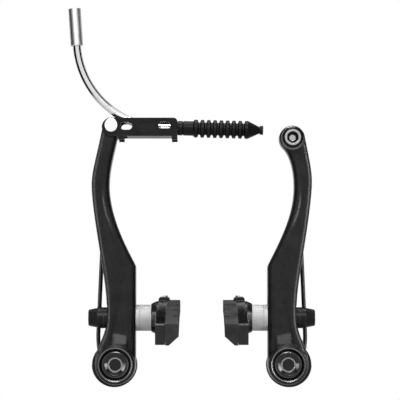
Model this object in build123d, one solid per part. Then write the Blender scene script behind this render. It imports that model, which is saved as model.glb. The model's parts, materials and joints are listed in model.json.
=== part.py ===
from build123d import *
import os
from math import acos, atan2, cos, degrees, radians, sin, sqrt, tan

# A linear-pull rim brake: a mirrored pair of forged arms on two frame bosses, with cartridge pads,
# a hinged link, a bent noodle pipe and a bellows boot. Millimetres.
# +X is to the right as seen from in front, +Y points back to the frame bosses and +Z is up.
# The origin lies midway between the two boss axes, in the plane of the boss shoulders.
# Handed pieces are drawn once about their own pivot with +X inboard, then placed left and mirrored right.

# Frame bosses, bushes and fixing bolts
BOSS_SPACING = 80.0
BOSS_DIAMETER = 8.0
BOSS_FIT = 0.04
BUSH_WALL = 1.46
BUSH_LENGTH = 18.8
BUSH_FLANGE_RADIUS = 7.0
BUSH_FLANGE_THICKNESS = 2.0
PIVOT_FIT = 0.06
SIDE_PLAY = 0.2
BOLT_DIAMETER = 6.0
BOLT_REACH = 17.8
BOLT_TIP_CHAMFER = 0.6
BOLT_NECK_RELIEF = 0.2
BOLT_HEAD_RADIUS = 6.25
BOLT_HEAD_HEIGHT = 4.5
BOLT_DISH_RADIUS = 4.85
BOLT_DISH_DEPTH = 0.9
FIXING_WASHER_THICKNESS = 1.0
SCREW_FIT = 0.1
HEX_KEY = 5.0
HEX_DEPTH = 3.2

# Spring housing, stopper pin, tension screw and return spring
HOUSING_RADIUS = 10.6
HOUSING_OFFSET = 0.9
HOUSING_DEPTH = 8.0
HOUSING_FLOOR = 2.6
HOUSING_CAVITY_RADIUS = 8.0
HOUSING_ARM_GAP = 0.3
STOPPER_RADIUS = 1.2
STOPPER_REACH = 5.0
STOPPER_SOCKET = 3.0
PRESS_FIT = 0.02
TENSION_SCREW_RADIUS = 1.5
TENSION_SCREW_ANGLE = 205.0
TENSION_SCREW_LENGTH = 3.2
TENSION_SLOT_WIDTH = 0.6
WIRE_RADIUS = 1.0
COIL_RADIUS = 6.75
COIL_ANGLE = 300.0
SPRING_ARM_GAP = 0.2
LEG_SLOT_START = 112.0
LEG_SLOT_SWEEP = 70.0
LEG_BULGE = (-8.65, 11.0)
LEG_TOP = (-6.75, 57.0)
LEG_HOOK = 3.6
LEG_BEND_RADIUS = 40.0
HOOK_BEND_RADIUS = 1.6

# Brake arms: outer edge offsets and widths at stations up the arm
HUB_RADIUS = 9.4
BOSS_STEP = 0.2
HUB_RAMP_HEIGHT = 5.2
HUB_RAMP_CENTRE = 2.2
HUB_RAMP_HALF_WIDTH = 3.2
HEAD_PROUD = 0.1
COUNTERBORE_PLAY = 0.5
COUNTERBORE_MOUTH = 1.0
ARM_DEPTH = 12.4
ARM_TOP_THICKNESS = 7.6
OVERRUN = 1.0
FLARE_HEIGHT = 15.0
FLARE_OUTER = 5.2
WAIST_HEIGHT = 25.0
WAIST_OUTER = 4.1
SHOULDER_HEIGHT = 45.8
SHOULDER_OUTER = 6.3
SHOULDER_SLANT = 27.5
SHOULDER_RADIUS = 3.4
NECK_HEIGHT = 60.0
NECK_OUTER = 8.65
NECK_WIDTH = 11.1
BELLY_HEIGHT = 82.0
BELLY_OUTER = 11.4
BELLY_WIDTH = 8.3
TOP_LEAN = 11.0
TOP_OFFSET = 2.3
FRONT_EDGE_RADIUS = 2.4
BACK_EDGE_RADIUS = 1.5
HUB_EDGE_RADIUS = 1.2

# Shallow valley down the arm's front, between a ridge along each edge
VALLEY_DEPTH = 0.45
VALLEY_TOP_DEPTH = 0.04
VALLEY_FADE = 15.0
LOW_BAND = 3.0
HIGH_BAND = 2.0
HUB_PANEL = 11.0
FLARE_PANEL = 7.3
WAIST_PANEL = 5.0
SHOULDER_PANEL = 2.8
NECK_PANEL = 1.4
BELLY_PANEL = 1.4

# Left arm eye with its link pin
EYE_HEIGHT = 111.4
EYE_RADIUS = 4.0
EYE_THICKNESS = 9.0
LINK_PIN_RADIUS = 2.0
LINK_PIN_HEAD_RADIUS = 3.2
LINK_PIN_HEAD_THICKNESS = 1.0
LINK_PIN_TAIL_RADIUS = 2.8
LINK_PIN_TAIL_THICKNESS = 0.8

# Right arm clamp boss with its cable bolt
CLAMP_HEIGHT = 105.4
CLAMP_RADIUS = 6.1
CLAMP_JOIN_ANGLE = 45.0
CLAMP_WASHER_RADIUS = 5.5
CLAMP_WASHER_THICKNESS = 1.4
CLAMP_HEAD_RADIUS = 4.9
CLAMP_HEAD_HEIGHT = 4.6
CLAMP_HEAD_DISH_RADIUS = 3.9
CLAMP_HEAD_DISH_DEPTH = 0.5
CLAMP_PILOT_RADIUS = 1.5
CLAMP_PILOT_DEPTH = 1.0
CABLE_DIAMETER = 1.6

# Pad fixing stack along the stud
STUD_HEIGHT = 21.8
STUD_DIAMETER = 6.0
STUD_HEAD_RADIUS = 4.4
STUD_HEAD_THICKNESS = 1.4
STUD_SLOT_TRAVEL = 6.0
STUD_PLAY = 0.2
SEAT_SINK = 0.2
SEAT_SPHERE_RADIUS = 9.0
SEAT_FIT = 0.05
INNER_DOME_THICKNESS = 1.8
INNER_CUP_THICKNESS = 5.4
INNER_WASHER_RADIUS = 6.1
OUTER_DOME_THICKNESS = 1.6
OUTER_CUP_THICKNESS = 2.8
OUTER_WASHER_RADIUS = 4.9
WASHER_CHAMFER = 0.3
NUT_LENGTH = 4.4
NUT_BASE_RADIUS = 4.65
NUT_END_RADIUS = 3.8
NUT_THREAD_LENGTH = 1.4

# Cartridge pads, bent to the rim
PAD_LENGTH = 70.0
PAD_PITCH = 10.0
PAD_HEIGHT = 10.0
RIM_RADIUS = 300.0
PAD_BOSS_RADIUS = 7.7
PAD_BOSS_TIP_RADIUS = 6.6
PAD_BOSS_THICKNESS = 2.4
PAD_BOSS_ROOT = 1.0
HOLDER_THICKNESS = 4.5
HOLDER_STOP_LENGTH = 3.0
HOLDER_END_RADIUS = 1.0
LUG_LENGTH = 7.5
LUG_HEIGHT = 1.7
LUG_OVERHANG = 1.2
LUG_EDGE_RADIUS = 1.3
GROOVE_DEPTH = 1.8
GROOVE_MOUTH = 4.0
GROOVE_FLOOR = 6.0
INSERT_FIT = 0.1
INSERT_THICKNESS = 6.2
INSERT_CHAMFER = 4.2
INSERT_SLOT_WIDTH = 1.6
INSERT_SLOT_DEPTH = 2.4
INSERT_SLOT_COUNT = 4
KEEPER_RADIUS = 0.75
KEEPER_INSET = 5.0
KEEPER_HEAD_RADIUS = 1.1
KEEPER_HEAD_HEIGHT = 0.6

# Link: a folded sheet channel pinned across the left arm's eye
LINK_SHEET = 1.2
LINK_PLAY = 0.2
LINK_HEIGHT = 8.6
LINK_DROP = 0.8
LINK_END_REACH = 31.0
LINK_END_RADIUS = 2.0
LINK_WEB_START = 7.5
LINK_LUG_DROP = 1.7
LINK_LUG_LENGTH = 2.6
LINK_LUG_START = 3.4
LINK_LUG_END = 2.7
LINK_SLOT_LENGTH = 5.6
LINK_SLOT_WIDTH = 3.7
LINK_SLOT_START = 7.1
LINK_SLOT_END = 6.1
LINK_OVAL_LENGTH = 6.2
LINK_OVAL_WIDTH = 4.6
LINK_HOLE_RISE = 0.5
NOSE_FIT = 0.1
RELEASE_SLOT_WIDTH = 2.0

# Noodle pipe with its ferrule and liner
PIPE_RADIUS = 1.9
PIPE_BORE_RADIUS = 1.1
PIPE_BEND_RADIUS = 41.8
PIPE_TURN = 86.0
PIPE_STRAIGHT = 4.4
PIPE_END_GAP = 0.15
NOSE_RADIUS = 1.5
NOSE_LENGTH = 10.0
LINER_RADIUS = 1.05
LINER_BORE_RADIUS = 0.8
FERRULE_RADIUS = 2.9
FERRULE_LENGTH = 17.6
FERRULE_SOCKET_RADIUS = 2.55
FERRULE_SOCKET_DEPTH = 12.0
FERRULE_CHAMFER = 0.2
PIPE_INSERTION = 4.0

# Bellows boot on the noodle's nose
BOOT_DROOP = 1.5
BOOT_GAP = 0.3
BOOT_COLLAR_LENGTH = 2.0
BOOT_NECK_LENGTH = 4.9
BOOT_NECK_RADIUS = 3.4
BOOT_NECK_GROOVE = 0.5
BOOT_RIB_COUNT = 9
BOOT_RIB_PITCH = 2.95
BOOT_RIB_CREST = 1.3
BOOT_RIB_RADIUS = 4.2
BOOT_GROOVE_RADIUS = 2.9
BOOT_GROOVE_FLOOR = 0.6
BOOT_CONE_LENGTH = 5.6
BOOT_TIP_NECK_RADIUS = 1.5
BOOT_TIP_RADIUS = 2.1
BOOT_TIP_LENGTH = 1.6
BOOT_BORE_RADIUS = 1.9
BOOT_COLLAR_FIT = 0.15
BOOT_TIP_BORE_RADIUS = 0.9

# Places worked out from the sizes above
pivot_x = BOSS_SPACING / 2
boss_bore = BOSS_DIAMETER / 2 + BOSS_FIT
bush_radius = boss_bore + BUSH_WALL
bolt_radius = BOLT_DIAMETER / 2
bush_front = -BUSH_LENGTH
washer_front = bush_front - FIXING_WASHER_THICKNESS
head_front = washer_front - BOLT_HEAD_HEIGHT
housing_back = -BUSH_FLANGE_THICKNESS
housing_front = housing_back - HOUSING_DEPTH
arm_back = housing_front - HOUSING_ARM_GAP
arm_front = arm_back - ARM_DEPTH
arm_mid = arm_back - ARM_DEPTH / 2
hub_front = head_front + HEAD_PROUD
hub_floor = bush_front + SIDE_PLAY
eye_front = arm_mid - EYE_THICKNESS / 2
eye_back = arm_mid + EYE_THICKNESS / 2
spring_y = arm_back + SPRING_ARM_GAP + WIRE_RADIUS
link_half_gap = EYE_THICKNESS / 2 + LINK_PLAY
link_half_width = link_half_gap + LINK_SHEET
pin_point = Vector(-pivot_x - TOP_OFFSET, arm_mid, EYE_HEIGHT)
link_end_x = pin_point.X + LINK_END_REACH
link_mid_z = EYE_HEIGHT - LINK_DROP
pipe_shoulder_x = link_end_x - LINK_SHEET - PIPE_END_GAP
bend_start = Vector(pipe_shoulder_x - PIPE_STRAIGHT, arm_mid, link_mid_z)
stud_radius = STUD_DIAMETER / 2
inner_dome_x = HUB_RADIUS
inner_cup_x = inner_dome_x + INNER_DOME_THICKNESS
pad_boss_x = inner_cup_x + INNER_CUP_THICKNESS
holder_x = pad_boss_x + PAD_BOSS_THICKNESS
insert_x = holder_x + HOLDER_THICKNESS
outer_dome_x = SEAT_SINK - WAIST_OUTER
outer_cup_x = outer_dome_x - OUTER_DOME_THICKNESS
nut_x = outer_cup_x - OUTER_CUP_THICKNESS


def polygon(*points):
    """Flat polygon through points."""
    return make_face(Polyline(*points, close=True))


def turned(points, axis):
    """Solid of revolution of a closed polygon drawn in the XY plane."""
    return revolve(polygon(*points), axis)


def disc_y(radius, front, back, x=0.0, z=0.0):
    """Cylinder along Y between two depths."""
    return extrude(Plane.XZ.offset(-back) * Pos(x, z) * Circle(radius), back - front)


def profile_y(sketch, front, back):
    """Prism of a front-view sketch between two depths."""
    return extrude(Plane.XZ.offset(-back) * sketch, back - front)


def hex_socket_y(front, depth):
    """Hexagonal key recess entering from the front."""
    hexagon = Rot(0, 0, 30) * RegularPolygon(HEX_KEY / 2, 6, major_radius=False)
    return profile_y(hexagon, front, front + depth)


def fixing_bolt():
    """Round-headed pivot bolt with a dished head, a hexagonal socket and a relieved neck."""
    tip = bush_front + BOLT_REACH
    neck = bolt_radius - BOLT_NECK_RELIEF
    dish_floor = HEX_KEY / sqrt(3) + BOLT_TIP_CHAMFER
    body = turned([
        (0, head_front + BOLT_DISH_DEPTH),
        (dish_floor, head_front + BOLT_DISH_DEPTH),
        (BOLT_DISH_RADIUS, head_front),
        (BOLT_HEAD_RADIUS - BOLT_TIP_CHAMFER, head_front),
        (BOLT_HEAD_RADIUS, head_front + BOLT_TIP_CHAMFER),
        (BOLT_HEAD_RADIUS, washer_front),
        (neck, washer_front),
        (neck, bush_front),
        (bolt_radius, bush_front),
        (bolt_radius, tip - BOLT_TIP_CHAMFER),
        (bolt_radius - BOLT_TIP_CHAMFER, tip),
        (0, tip),
    ], Axis.Y)
    return body - hex_socket_y(head_front, BOLT_DISH_DEPTH + HEX_DEPTH)


def fixing_washer():
    """Flat washer between the bolt head and the bush."""
    radius = BOLT_HEAD_RADIUS + COUNTERBORE_PLAY / 2
    blank = disc_y(radius, washer_front, bush_front)
    return blank - disc_y(bolt_radius + SCREW_FIT, washer_front, bush_front)


def pivot_bush():
    """Flanged bush that clamps on the boss and carries the arm."""
    return turned([
        (boss_bore, 0),
        (BUSH_FLANGE_RADIUS, 0),
        (BUSH_FLANGE_RADIUS, housing_back),
        (bush_radius, housing_back),
        (bush_radius, bush_front),
        (boss_bore, bush_front),
    ], Axis.Y)


def tension_screw_place():
    """Location of the tension screw, its own axis pointing outwards through the housing wall."""
    angle = radians(TENSION_SCREW_ANGLE)
    depth = housing_back - HOUSING_FLOOR - TENSION_SCREW_RADIUS
    outward = Vector(cos(angle), 0, sin(angle))
    start = outward * (HOUSING_CAVITY_RADIUS + PRESS_FIT) + Vector(0, depth, 0)
    return Plane(origin=start, x_dir=(0, 1, 0), z_dir=outward)


def spring_housing():
    """Moulded cup behind the hub, eccentric outboard where it holds the stopper pin and the screw."""
    shell = disc_y(HOUSING_RADIUS, housing_front, housing_back, -HOUSING_OFFSET)
    shell = chamfer(shell.edges().group_by(Axis.Y)[-1], HUB_EDGE_RADIUS)
    shell -= disc_y(HOUSING_CAVITY_RADIUS, housing_front, housing_back - HOUSING_FLOOR)
    shell -= disc_y(bush_radius + PRESS_FIT, housing_front, housing_back)
    reach = HOUSING_RADIUS + HOUSING_OFFSET + WIRE_RADIUS
    slot = make_face([
        Line((0, 0), (reach * cos(radians(LEG_SLOT_START)), reach * sin(radians(LEG_SLOT_START)))),
        CenterArc((0, 0), reach, LEG_SLOT_START, LEG_SLOT_SWEEP),
        Line(CenterArc((0, 0), reach, LEG_SLOT_START, LEG_SLOT_SWEEP) @ 1, (0, 0)),
    ])
    slot_back = spring_y + WIRE_RADIUS + SPRING_ARM_GAP
    shell -= profile_y(slot - Circle(bush_radius + PRESS_FIT), housing_front, slot_back)
    shell -= disc_y(STOPPER_RADIUS + PRESS_FIT, housing_back - STOPPER_SOCKET, housing_back, stopper_x())
    screw_hole = tension_screw_place() * Circle(TENSION_SCREW_RADIUS + PRESS_FIT)
    return shell - extrude(screw_hole, HOUSING_RADIUS)


def stopper_x():
    """Distance of the stopper pin from the pivot, in the middle of the housing's thick side."""
    return -(HOUSING_CAVITY_RADIUS + HOUSING_RADIUS + HOUSING_OFFSET) / 2


def stopper_pin():
    """Pin behind the housing that enters the boss plate."""
    pin = disc_y(STOPPER_RADIUS, housing_back - STOPPER_SOCKET, STOPPER_REACH, stopper_x())
    return chamfer(pin.edges().group_by(Axis.Y)[-1], STOPPER_RADIUS / 3)


def tension_screw():
    """Slotted set screw in the thick wall of the housing."""
    place = tension_screw_place()
    screw = extrude(place * Circle(TENSION_SCREW_RADIUS), TENSION_SCREW_LENGTH)
    slot = Box(4 * TENSION_SCREW_RADIUS, TENSION_SLOT_WIDTH, 2 * TENSION_SLOT_WIDTH)
    return screw - place.location * Pos(0, 0, TENSION_SCREW_LENGTH) * slot


def return_spring():
    """Wire spring: a coil round the bush, a leg up behind the arm and a tip hooked into its back."""
    distance = sqrt(LEG_BULGE[0] ** 2 + LEG_BULGE[1] ** 2)
    leave = atan2(LEG_BULGE[1], LEG_BULGE[0]) + acos(COIL_RADIUS / distance)

    def coil_point(turn):
        angle = leave + radians(turn)
        return Vector(COIL_RADIUS * cos(angle), spring_y, COIL_RADIUS * sin(angle))

    coil = ThreePointArc(coil_point(COIL_ANGLE), coil_point(COIL_ANGLE / 2), coil_point(0))
    bulge, top = (Vector(x, spring_y, z) for x, z in (LEG_BULGE, LEG_TOP))
    hook_tip = top - Vector(0, LEG_HOOK, 0)
    bends = (LEG_BEND_RADIUS, HOOK_BEND_RADIUS)
    leg = FilletPolyline(coil_point(0), bulge, top, hook_tip, radius=bends)
    path = Wire([*coil.edges(), *leg.edges()])
    section = Plane(origin=path @ 0, z_dir=path % 0) * Circle(WIRE_RADIUS)
    return sweep(section, path)


def arm_outline(top, top_radius, join_angle):
    """Front-view outline of an arm, from the hub past the shoulder up to a round end at top."""
    lean = radians(TOP_LEAN)
    join = radians(join_angle)
    slant = radians(SHOULDER_SLANT)
    outer_end = (top[0] - top_radius * cos(lean), top[1] + top_radius * sin(lean))
    inner_end = (top[0] + top_radius * cos(join), top[1] - top_radius * sin(join))
    flat_end = SHOULDER_HEIGHT - SHOULDER_RADIUS * tan(slant / 2)
    outer = Spline(
        (-HUB_RADIUS, 0),
        (-FLARE_OUTER, FLARE_HEIGHT),
        (-WAIST_OUTER, WAIST_HEIGHT),
        (-SHOULDER_OUTER, SHOULDER_HEIGHT),
        (-NECK_OUTER, NECK_HEIGHT),
        (-BELLY_OUTER, BELLY_HEIGHT),
        outer_end,
        tangents=((0, 1), (sin(lean), cos(lean))),
    )
    flat = Line((HUB_RADIUS, 0), (HUB_RADIUS, flat_end))
    shoulder = CenterArc((HUB_RADIUS - SHOULDER_RADIUS, flat_end), SHOULDER_RADIUS, 0, SHOULDER_SLANT)
    inner = Spline(
        shoulder @ 1,
        (NECK_WIDTH - NECK_OUTER, NECK_HEIGHT),
        (BELLY_WIDTH - BELLY_OUTER, BELLY_HEIGHT),
        inner_end,
        tangents=((-sin(slant), cos(slant)), (sin(join), cos(join))),
    )
    crown = CenterArc(top, top_radius, -join_angle, 180 - TOP_LEAN + join_angle)
    hub = CenterArc((0, 0), HUB_RADIUS, 180, 180)
    return make_face([flat, shoulder, inner, crown, outer, hub])


def arm_sink(height, top_height):
    """Distance that each face of an arm has curved in at a height, as the arm thins towards its top."""
    low = HUB_RADIUS + OVERRUN
    rise = low + top_height + 2 * CLAMP_RADIUS
    sink = (ARM_DEPTH - ARM_TOP_THICKNESS) / 2
    radius = (rise ** 2 + sink ** 2) / (2 * sink)
    return radius - sqrt(radius ** 2 - (height + low) ** 2)


def arm_body(outline, top_height):
    """Forged body: the outline crossed with a side view that thins towards the top, long edges rounded."""
    low = -HUB_RADIUS - OVERRUN
    high = top_height + 2 * CLAMP_RADIUS
    heights = (low, (low + high) / 2, high)
    front = ThreePointArc(*[(arm_front + arm_sink(height, top_height), height) for height in heights])
    back = ThreePointArc(*[(arm_back - arm_sink(height, top_height), height) for height in heights])
    side_view = make_face([front, Line(front @ 1, back @ 1), back, Line(front @ 0, back @ 0)])
    reach = BELLY_OUTER + HUB_RADIUS
    body = profile_y(outline, arm_front - OVERRUN, arm_back + OVERRUN)
    body &= extrude(Plane.YZ.offset(-reach) * side_view, 2 * reach)
    body = fillet(body.faces().sort_by(Axis.Y)[0].edges(), FRONT_EDGE_RADIUS)
    body = fillet(body.faces().sort_by(Axis.Y)[-1].edges(), BACK_EDGE_RADIUS)
    return body - front_valley(top_height)


def front_valley(top_height):
    """Cut for the valley in an arm's face, whose floor crosses from the outer to the inner side going up."""
    neck_inner = NECK_WIDTH - NECK_OUTER
    belly_inner = BELLY_WIDTH - BELLY_OUTER
    stations = (
        (0, HUB_RADIUS, HUB_RADIUS, LOW_BAND, HUB_PANEL, VALLEY_DEPTH),
        (FLARE_HEIGHT, FLARE_OUTER, HUB_RADIUS, LOW_BAND, FLARE_PANEL, VALLEY_DEPTH),
        (WAIST_HEIGHT, WAIST_OUTER, HUB_RADIUS, LOW_BAND, WAIST_PANEL, VALLEY_DEPTH),
        (SHOULDER_HEIGHT, SHOULDER_OUTER, HUB_RADIUS, LOW_BAND, SHOULDER_PANEL, VALLEY_DEPTH),
        (NECK_HEIGHT, NECK_OUTER, neck_inner, HIGH_BAND, NECK_PANEL, VALLEY_DEPTH),
        (BELLY_HEIGHT, BELLY_OUTER, belly_inner, HIGH_BAND, BELLY_PANEL, VALLEY_DEPTH),
        (BELLY_HEIGHT + VALLEY_FADE, BELLY_OUTER, belly_inner, HIGH_BAND, BELLY_PANEL, VALLEY_TOP_DEPTH),
    )
    sections = []
    for height, outer, inner, band, panel, depth in stations:
        face = arm_front + arm_sink(height, top_height)
        outer_ridge = band - outer
        inner_ridge = inner - band
        floor = inner_ridge - panel
        section = polygon(
            (2 * outer_ridge - floor, face - depth),
            (floor, face + depth),
            (2 * inner_ridge - floor, face - depth),
        )
        sections.append(Plane.XY.offset(height) * section)
    return loft(sections)


def arm_hub():
    """Pivot hub that stands proud of the arm's face, with the ramp that leads up from it."""
    hub = disc_y(HUB_RADIUS - BOSS_STEP, hub_front, arm_mid)
    hub = fillet(hub.edges().group_by(Axis.Y)[0], HUB_EDGE_RADIUS)
    ramp_view = make_face(Polyline(
        (hub_front + HUB_EDGE_RADIUS / 2, HUB_RADIUS),
        (arm_front + VALLEY_DEPTH, HUB_RADIUS + HUB_RAMP_HEIGHT),
        (arm_mid, HUB_RADIUS + HUB_RAMP_HEIGHT),
        (arm_mid, 0),
        (hub_front + HUB_EDGE_RADIUS / 2, 0),
        close=True,
    ))
    ramp_start = HUB_RAMP_CENTRE - HUB_RAMP_HALF_WIDTH
    return hub + extrude(Plane.YZ.offset(ramp_start) * ramp_view, 2 * HUB_RAMP_HALF_WIDTH)


def arm_cuts():
    """Openings that both arms share: pivot bore, bolt recess, stud slot, washer seat and spring hole."""
    recess = BOLT_HEAD_RADIUS + COUNTERBORE_PLAY
    cuts = turned([
        (0, hub_floor),
        (recess, hub_floor),
        (recess, hub_front + COUNTERBORE_MOUTH),
        (recess + COUNTERBORE_MOUTH, hub_front),
        (recess + COUNTERBORE_MOUTH, hub_front - OVERRUN),
        (0, hub_front - OVERRUN),
    ], Axis.Y)
    cuts += disc_y(bush_radius + PIVOT_FIT, hub_floor - OVERRUN, arm_back + OVERRUN)
    stud_plane = Plane(origin=(0, arm_mid, STUD_HEIGHT), x_dir=(0, 0, 1), z_dir=(1, 0, 0))
    slot = SlotCenterToCenter(STUD_SLOT_TRAVEL, STUD_DIAMETER + 2 * STUD_PLAY)
    reach = BELLY_OUTER + HUB_RADIUS
    cuts += extrude(stud_plane.offset(-reach) * slot, 2 * reach)
    seat = SlotCenterToCenter(STUD_SLOT_TRAVEL, 2 * OUTER_WASHER_RADIUS + 2 * STUD_PLAY)
    cuts += extrude(stud_plane.offset(-reach) * seat, reach + outer_dome_x)
    hole = WIRE_RADIUS + SPRING_ARM_GAP
    hole_floor = spring_y - LEG_HOOK - SPRING_ARM_GAP
    return cuts + disc_y(hole, hole_floor, arm_back + OVERRUN, LEG_TOP[0], LEG_TOP[1])


def pin_arm():
    """Left arm, with the eye that carries the link."""
    top = (-TOP_OFFSET, EYE_HEIGHT)
    arm = arm_body(arm_outline(top, EYE_RADIUS, TOP_LEAN), EYE_HEIGHT)
    arm += arm_hub()
    arm += disc_y(EYE_RADIUS - BOSS_STEP, eye_front, eye_back, *top)
    arm -= arm_cuts()
    return arm - disc_y(LINK_PIN_RADIUS + PRESS_FIT, arm_front, arm_back, *top)


def clamp_arm():
    """Right arm before mirroring, with the boss that clamps the cable."""
    top = (-TOP_OFFSET, CLAMP_HEIGHT)
    arm = arm_body(arm_outline(top, CLAMP_RADIUS, CLAMP_JOIN_ANGLE), CLAMP_HEIGHT)
    arm += arm_hub()
    arm += disc_y(CLAMP_RADIUS - BOSS_STEP, eye_front, eye_back, *top)
    arm -= arm_cuts()
    arm -= disc_y(bolt_radius + PRESS_FIT, arm_front, arm_back, *top)
    cable_height = CLAMP_HEIGHT + bolt_radius + CABLE_DIAMETER / 2
    groove_start = Plane.YZ.offset(-TOP_OFFSET - 2 * CLAMP_RADIUS)
    groove = groove_start * Pos(eye_front, cable_height) * Circle(CABLE_DIAMETER / 2)
    return arm - extrude(groove, 4 * CLAMP_RADIUS)


def cable_washer():
    """Clamp washer on the face of the right arm's boss."""
    front = eye_front - CLAMP_WASHER_THICKNESS
    blank = disc_y(CLAMP_WASHER_RADIUS, front, eye_front, -TOP_OFFSET, CLAMP_HEIGHT)
    blank = chamfer(blank.edges().group_by(Axis.Y)[0], WASHER_CHAMFER)
    return blank - disc_y(bolt_radius + SCREW_FIT, front, eye_front, -TOP_OFFSET, CLAMP_HEIGHT)


def cable_bolt():
    """Socket-head bolt that clamps the cable, with a ring face round a hexagonal socket."""
    seat = eye_front - CLAMP_WASHER_THICKNESS
    front = seat - CLAMP_HEAD_HEIGHT
    socket_floor = front + CLAMP_HEAD_DISH_DEPTH + HEX_DEPTH
    body = turned([
        (0, front + CLAMP_HEAD_DISH_DEPTH),
        (CLAMP_HEAD_DISH_RADIUS, front + CLAMP_HEAD_DISH_DEPTH),
        (CLAMP_HEAD_DISH_RADIUS, front),
        (CLAMP_HEAD_RADIUS - BOLT_TIP_CHAMFER, front),
        (CLAMP_HEAD_RADIUS, front + BOLT_TIP_CHAMFER),
        (CLAMP_HEAD_RADIUS, seat),
        (bolt_radius, seat),
        (bolt_radius, eye_back),
        (0, eye_back),
    ], Axis.Y)
    body -= hex_socket_y(front, CLAMP_HEAD_DISH_DEPTH + HEX_DEPTH)
    body -= disc_y(CLAMP_PILOT_RADIUS, socket_floor, socket_floor + CLAMP_PILOT_DEPTH)
    return Pos(-TOP_OFFSET, 0, CLAMP_HEIGHT) * body


def link_pin():
    """Headed pin through the link and the left arm's eye."""
    cheek = link_half_width + SIDE_PLAY / 2
    body = turned([
        (0, -cheek - LINK_PIN_HEAD_THICKNESS),
        (LINK_PIN_HEAD_RADIUS - WASHER_CHAMFER, -cheek - LINK_PIN_HEAD_THICKNESS),
        (LINK_PIN_HEAD_RADIUS, -cheek - LINK_PIN_HEAD_THICKNESS + WASHER_CHAMFER),
        (LINK_PIN_HEAD_RADIUS, -cheek),
        (LINK_PIN_RADIUS, -cheek),
        (LINK_PIN_RADIUS, cheek),
        (LINK_PIN_TAIL_RADIUS, cheek),
        (LINK_PIN_TAIL_RADIUS - WASHER_CHAMFER, cheek + LINK_PIN_TAIL_THICKNESS),
        (0, cheek + LINK_PIN_TAIL_THICKNESS),
    ], Axis.Y)
    return Pos(pin_point) * body


def cable_link():
    """Folded channel: two windowed cheeks, a web beneath and an end wall with the noodle's keyhole."""
    radius = LINK_HEIGHT / 2
    low = -LINK_DROP - radius
    body = Pos(LINK_END_REACH / 2, -LINK_DROP) * Rectangle(LINK_END_REACH, LINK_HEIGHT)
    body = fillet(body.vertices().group_by(Axis.X)[-1], LINK_END_RADIUS)
    outline = body + Pos(0, -LINK_DROP) * Circle(radius)
    for start in (LINK_LUG_START, LINK_END_REACH - LINK_LUG_END):
        tab = Rectangle(LINK_LUG_LENGTH, 2 * LINK_LUG_DROP)
        outline += Pos(start + LINK_LUG_LENGTH / 2, low) * tab
    first, last = LINK_SLOT_START, LINK_END_REACH - LINK_SLOT_END
    window = SlotOverall(LINK_SLOT_LENGTH, LINK_SLOT_WIDTH)
    oval = SlotOverall(LINK_OVAL_LENGTH, LINK_OVAL_WIDTH)
    for centre, hole in ((first, window), ((first + last) / 2, oval), (last, window)):
        outline -= Pos(centre, LINK_HOLE_RISE - LINK_DROP) * hole
    outline -= Circle(LINK_PIN_RADIUS + PIVOT_FIT)
    link = profile_y(outline, -link_half_width, link_half_width)
    channel_length = LINK_END_REACH - LINK_SHEET - LINK_WEB_START
    channel = Pos(LINK_WEB_START + channel_length / 2, low + LINK_SHEET + LINK_HEIGHT / 2)
    link -= profile_y(channel * Rectangle(channel_length, LINK_HEIGHT), -link_half_gap, link_half_gap)
    open_end = Pos(LINK_WEB_START - LINK_END_REACH / 2, -LINK_DROP)
    open_end = open_end * Rectangle(LINK_END_REACH, 3 * LINK_HEIGHT)
    link -= profile_y(open_end, -link_half_gap, link_half_gap)
    beneath = Pos(LINK_END_REACH / 2, low - LINK_HEIGHT / 2)
    beneath = beneath * Rectangle(2 * LINK_END_REACH, LINK_HEIGHT)
    link -= profile_y(beneath, -link_half_gap, link_half_gap)
    wall = Plane.YZ.offset(LINK_END_REACH - 2 * LINK_SHEET)
    keyhole = Pos(0, -LINK_DROP) * Circle(NOSE_RADIUS + NOSE_FIT)
    keyhole += Pos(0, -LINK_DROP + LINK_HEIGHT / 2) * Rectangle(RELEASE_SLOT_WIDTH, LINK_HEIGHT)
    link -= extrude(wall * keyhole, 3 * LINK_SHEET)
    return Pos(pin_point) * link


def bend_point(turn):
    """Point on the noodle's centre line after a turn in degrees from the nose axis."""
    angle = radians(turn)
    x = bend_start.X - PIPE_BEND_RADIUS * sin(angle)
    z = bend_start.Z + PIPE_BEND_RADIUS * (1 - cos(angle))
    return Vector(x, arm_mid, z)


def noodle_path(nose_x):
    """Centre line from a point on the nose axis round the bend and into the ferrule."""
    nose = Line(Vector(nose_x, arm_mid, link_mid_z), bend_start)
    bend = ThreePointArc(bend_start, bend_point(PIPE_TURN / 2), bend_point(PIPE_TURN))
    top = Line(bend @ 1, bend @ 1 + (bend % 1) * PIPE_INSERTION)
    return Wire([*nose.edges(), *bend.edges(), *top.edges()])


def piped(radius, path):
    """Round rod swept along a path."""
    return sweep(Plane(origin=path @ 0, z_dir=path % 0) * Circle(radius), path)


def noodle_pipe():
    """Bent pipe with a turned-down nose that seats in the link's keyhole."""
    tip_x = pipe_shoulder_x + NOSE_LENGTH
    pipe = piped(PIPE_RADIUS, noodle_path(pipe_shoulder_x))
    nose = Plane.YZ.offset(pipe_shoulder_x) * Pos(arm_mid, link_mid_z) * Circle(NOSE_RADIUS)
    pipe += extrude(nose, NOSE_LENGTH)
    return pipe - piped(PIPE_BORE_RADIUS, noodle_path(tip_x))


def noodle_liner():
    """Thin plastic liner inside the pipe."""
    path = noodle_path(pipe_shoulder_x + NOSE_LENGTH)
    return piped(LINER_RADIUS, path) - piped(LINER_BORE_RADIUS, path)


def ferrule_place():
    """Location at the lower end of the ferrule, its own axis pointing out along the cable housing."""
    angle = radians(PIPE_TURN)
    return Plane(origin=bend_point(PIPE_TURN), x_dir=(0, 1, 0), z_dir=(-cos(angle), 0, sin(angle)))


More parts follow.
